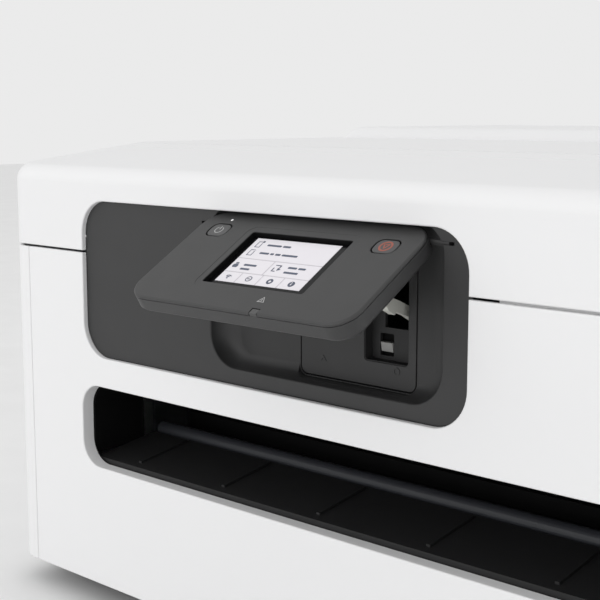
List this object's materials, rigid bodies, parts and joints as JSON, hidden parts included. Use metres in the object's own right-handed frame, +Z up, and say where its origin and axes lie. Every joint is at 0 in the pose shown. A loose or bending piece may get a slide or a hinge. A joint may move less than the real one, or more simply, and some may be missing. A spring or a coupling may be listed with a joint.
{
  "type": "inkjet printer",
  "caption": "Wide-format desktop inkjet printer, roll-fed from the rear, with a front paper outlet and a tilting touch panel in a dark dished housing.",
  "frame": {"origin": "on the surface it stands on, under the middle of the whole printer with its panel open", "axes": "+X along the width, to the right of someone facing the front; -Y out of the front, where paper leaves; +Z up"},
  "size_m": [0.968, 0.5823, 0.285],
  "materials": {
    "white_cover": "fine satin moulded plastic",
    "charcoal_plastic": "satin moulded plastic",
    "black_plastic": "matte moulded plastic",
    "light_grey_plastic": "satin moulded plastic",
    "steel": "pressed sheet, satin",
    "rubber": "matte",
    "roller_grey": "satin",
    "nylon": "natural nylon",
    "brass": "machined",
    "circuit_board": "solder mask",
    "smoked_clear": "smoked transparent plastic",
    "screen": "smooth display cover",
    "lamp": "light guide",
    "ink_black": "ink behind translucent plastic",
    "ink_cyan": "ink behind translucent plastic",
    "ink_magenta": "ink behind translucent plastic",
    "ink_yellow": "ink behind translucent plastic"
  },
  "bodies": {
    "case": {"base_pan": "charcoal_plastic", "foot_front_left": "rubber", "foot_front_right": "rubber", "foot_rear_left": "rubber", "foot_rear_right": "rubber", "left_side_cover": "white_cover", "right_side_cover": "white_cover", "front_cover": "white_cover", "ink_window": "smoked_clear", "rear_cover": "white_cover", "outlet_liner": "black_plastic", "output_tray": "black_plastic", "control_housing": "charcoal_plastic", "service_plate": "charcoal_plastic", "frame_plate_left": "steel", "frame_plate_right": "steel", "main_rail": "steel", "carriage_belt": "rubber", "carriage_motor": "steel", "platen": "black_plastic", "feed_motor": "steel", "purge_unit": "black_plastic", "ink_tank_black": "ink_black", "ink_tank_cyan": "ink_cyan", "ink_tank_magenta": "ink_magenta", "ink_tank_yellow": "ink_yellow", "main_board": "circuit_board", "power_supply": "steel", "ac_inlet": "black_plastic"},
    "access_lid": {"top_cover": "white_cover"},
    "tank_lid": {"ink_tank_lid": "white_cover"},
    "roll_lid": {"roll_cover": "white_cover"},
    "sheet_flap": {"sheet_feed_flap": "white_cover"},
    "panel": {"panel_front_shell": "charcoal_plastic", "panel_back_shell": "charcoal_plastic", "touch_screen": "screen", "status_lamp": "lamp", "panel_stay_arm": "light_grey_plastic", "panel_hinge_pin_left": "charcoal_plastic", "panel_hinge_pin_right": "charcoal_plastic"},
    "power_key": {"power_button": "charcoal_plastic"},
    "stop_key": {"stop_button": "charcoal_plastic"},
    "latch": {"release_lever": "light_grey_plastic"},
    "print_carriage": {"carriage": "black_plastic", "print_head": "steel"},
    "drive_pulley": {"belt_drive_pulley": "steel"},
    "idler_pulley": {"belt_idler_pulley": "steel"},
    "feed_drive": {"feed_roller": "rubber", "feed_gear": "nylon"},
    "pinion": {"feed_pinion": "brass"},
    "pinch": {"pinch_roller": "rubber"},
    "eject": {"eject_roller": "roller_grey"},
    "cutter": {"cutter_unit": "black_plastic"},
    "spool": {"roll_spool": "black_plastic"},
    "flange": {"roll_flange_right": "black_plastic"},
    "cap_black": {"tank_cap_black": "charcoal_plastic"},
    "cap_cyan": {"tank_cap_cyan": "charcoal_plastic"},
    "cap_magenta": {"tank_cap_magenta": "charcoal_plastic"},
    "cap_yellow": {"tank_cap_yellow": "charcoal_plastic"},
    "waste_box": {"maintenance_cartridge": "charcoal_plastic"}
  },
  "joints": [
    {"name": "access_lid_hinge", "type": "hinge", "parent": "case", "child": "access_lid", "pos_m": [-0.129, 0.0765, 0.275], "axis": [-1, 0, 0], "range_deg": [0, 62]},
    {"name": "tank_lid_hinge", "type": "hinge", "parent": "case", "child": "tank_lid", "pos_m": [0.356, 0.0765, 0.275], "axis": [-1, 0, 0], "range_deg": [0, 70]},
    {"name": "roll_lid_hinge", "type": "hinge", "parent": "case", "child": "roll_lid", "pos_m": [0, 0.2865, 0.223], "axis": [-1, 0, 0], "range_deg": [0, 65]},
    {"name": "sheet_flap_hinge", "type": "hinge", "parent": "roll_lid", "child": "sheet_flap", "pos_m": [-0.093, 0.1377, 0.2835], "axis": [-1, 0, 0], "range_deg": [0, 100]},
    {"name": "panel_tilt", "type": "hinge", "parent": "case", "child": "panel", "pos_m": [-0.226, -0.2294, 0.2389], "axis": [-1, 0, 0], "range_deg": [-59, 6]},
    {"name": "power_button_press", "type": "slide", "parent": "panel", "child": "power_key", "axis": [0, 0.515, -0.8572], "range_m": [0, 0.0008], "stiffness_N_per_m": 1500},
    {"name": "stop_button_press", "type": "slide", "parent": "panel", "child": "stop_key", "axis": [0, 0.515, -0.8572], "range_m": [0, 0.0008], "stiffness_N_per_m": 1500},
    {"name": "release_lever_slide", "type": "slide", "parent": "case", "child": "latch", "axis": [0, 0, 1], "range_m": [0, 0.0025], "stiffness_N_per_m": 400, "springref_m": -0.002},
    {"name": "carriage_travel", "type": "slide", "parent": "case", "child": "print_carriage", "axis": [1, 0, 0], "range_m": [-0.66, 0]},
    {"name": "drive_pulley_spin", "type": "hinge", "parent": "case", "child": "drive_pulley", "pos_m": [0.312, -0.085, 0.184], "axis": [0, 1, 0], "continuous": true},
    {"name": "idler_pulley_spin", "type": "hinge", "parent": "case", "child": "idler_pulley", "pos_m": [-0.425, -0.085, 0.184], "axis": [0, 1, 0], "continuous": true},
    {"name": "feed_roller_spin", "type": "hinge", "parent": "case", "child": "feed_drive", "pos_m": [0, -0.0665, 0.103], "axis": [1, 0, 0], "continuous": true},
    {"name": "feed_pinion_spin", "type": "hinge", "parent": "case", "child": "pinion", "pos_m": [-0.43, -0.03375, 0.103], "axis": [1, 0, 0], "continuous": true},
    {"name": "pinch_roller_spin", "type": "hinge", "parent": "case", "child": "pinch", "pos_m": [0, -0.0665, 0.1174], "axis": [1, 0, 0], "continuous": true},
    {"name": "eject_roller_spin", "type": "hinge", "parent": "case", "child": "eject", "pos_m": [0, -0.1745, 0.099], "axis": [1, 0, 0], "continuous": true},
    {"name": "cutter_travel", "type": "slide", "parent": "case", "child": "cutter", "axis": [1, 0, 0], "range_m": [-0.6, 0]},
    {"name": "roll_spool_spin", "type": "hinge", "parent": "case", "child": "spool", "pos_m": [0, 0.1785, 0.15], "axis": [1, 0, 0], "continuous": true},
    {"name": "roll_flange_slide", "type": "slide", "parent": "spool", "child": "flange", "axis": [1, 0, 0], "range_m": [-0.34, 0]},
    {"name": "black_cap_hinge", "type": "hinge", "parent": "case", "child": "cap_black", "pos_m": [0.2665, -0.1675, 0.1963], "axis": [-1, 0, 0], "range_deg": [0, 95]},
    {"name": "cyan_cap_hinge", "type": "hinge", "parent": "case", "child": "cap_cyan", "pos_m": [0.327, -0.1675, 0.1963], "axis": [-1, 0, 0], "range_deg": [0, 95]},
    {"name": "magenta_cap_hinge", "type": "hinge", "parent": "case", "child": "cap_magenta", "pos_m": [0.3875, -0.1675, 0.1963], "axis": [-1, 0, 0], "range_deg": [0, 95]},
    {"name": "yellow_cap_hinge", "type": "hinge", "parent": "case", "child": "cap_yellow", "pos_m": [0.448, -0.1675, 0.1963], "axis": [-1, 0, 0], "range_deg": [0, 95]},
    {"name": "waste_box_pull", "type": "slide", "parent": "case", "child": "waste_box", "axis": [1, 0, 0], "range_m": [0, 0.12]}
  ],
  "couplings": [
    {"joint": "drive_pulley_spin", "follows": "carriage_travel", "rad_per_m": 148.15},
    {"joint": "idler_pulley_spin", "follows": "carriage_travel", "rad_per_m": 148.15},
    {"joint": "feed_pinion_spin", "follows": "feed_roller_spin", "ratio": -3.3333},
    {"joint": "pinch_roller_spin", "follows": "feed_roller_spin", "ratio": -1.8},
    {"joint": "eject_roller_spin", "follows": "feed_roller_spin", "ratio": 2}
  ]
}
